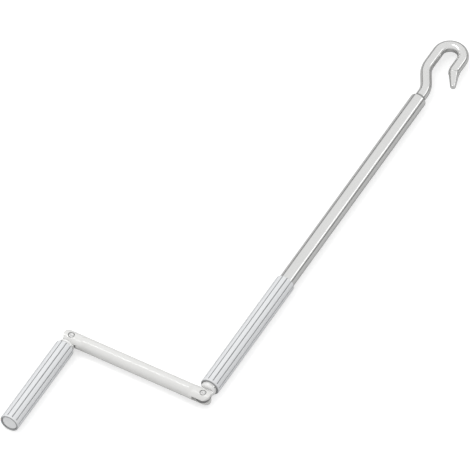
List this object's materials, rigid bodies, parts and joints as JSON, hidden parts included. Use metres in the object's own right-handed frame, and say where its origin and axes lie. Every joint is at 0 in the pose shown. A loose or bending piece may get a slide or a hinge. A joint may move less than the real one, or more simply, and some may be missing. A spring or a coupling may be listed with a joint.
{
  "type": "folding hook crank",
  "caption": "Folding winding crank: a hooked shaft, a hinged arm and a hinged handle, with a revolving grooved grip on shaft and handle.",
  "frame": {"origin": "centre of the hook's loop, on the shaft's axis", "axes": "+X along the shaft towards the hook, +Y along the arm from the shaft hinge to the handle hinge, +Z along the hinge pins"},
  "size_m": [0.6913, 0.1987, 0.022],
  "materials": {
    "tube": "satin plated, drawn along its length",
    "arm": "satin light grey, slightly warm",
    "hook": "satin plated",
    "grip": "matt moulded, slightly cool grey",
    "steel": "zinc plated",
    "washer": "dark self-coloured nylon",
    "cap": "matt moulded"
  },
  "bodies": {
    "shaft": {"shaft_tube": "tube", "hook": "hook", "hook_bush": "hook", "hook_screw": "steel", "shaft_tongue": "steel", "shaft_tongue_pin": "steel", "shaft_grip_ring": "steel"},
    "shaft_grip": {"shaft_grip": "grip"},
    "arm": {"arm_tube": "arm", "shaft_fork_plug": "arm", "handle_fork_plug": "arm", "shaft_hinge_rivet": "steel", "handle_hinge_rivet": "steel", "shaft_hinge_washer_top": "washer", "shaft_hinge_washer_bottom": "washer", "handle_hinge_washer_top": "washer", "handle_hinge_washer_bottom": "washer"},
    "handle": {"handle_tube": "tube", "handle_tongue": "steel", "handle_tongue_pin": "steel", "handle_grip_ring": "steel", "handle_end_plug": "cap"},
    "handle_grip": {"handle_grip": "grip"}
  },
  "joints": [
    {"name": "shaft_grip_spin", "type": "hinge", "parent": "shaft", "child": "shaft_grip", "pos_m": [-0.4425, 0, 0], "axis": [1, 0, 0], "continuous": true},
    {"name": "arm_fold", "type": "hinge", "parent": "shaft", "child": "arm", "pos_m": [-0.53832, 0, 0], "axis": [0, 0, 1], "range_deg": [0, 180]},
    {"name": "handle_fold", "type": "hinge", "parent": "arm", "child": "handle", "pos_m": [-0.53832, 0.161, 0], "axis": [0, 0, 1], "range_deg": [-180, 0]},
    {"name": "handle_grip_spin", "type": "hinge", "parent": "handle", "child": "handle_grip", "pos_m": [-0.6117, 0.161, 0], "axis": [1, 0, 0], "continuous": true}
  ]
}
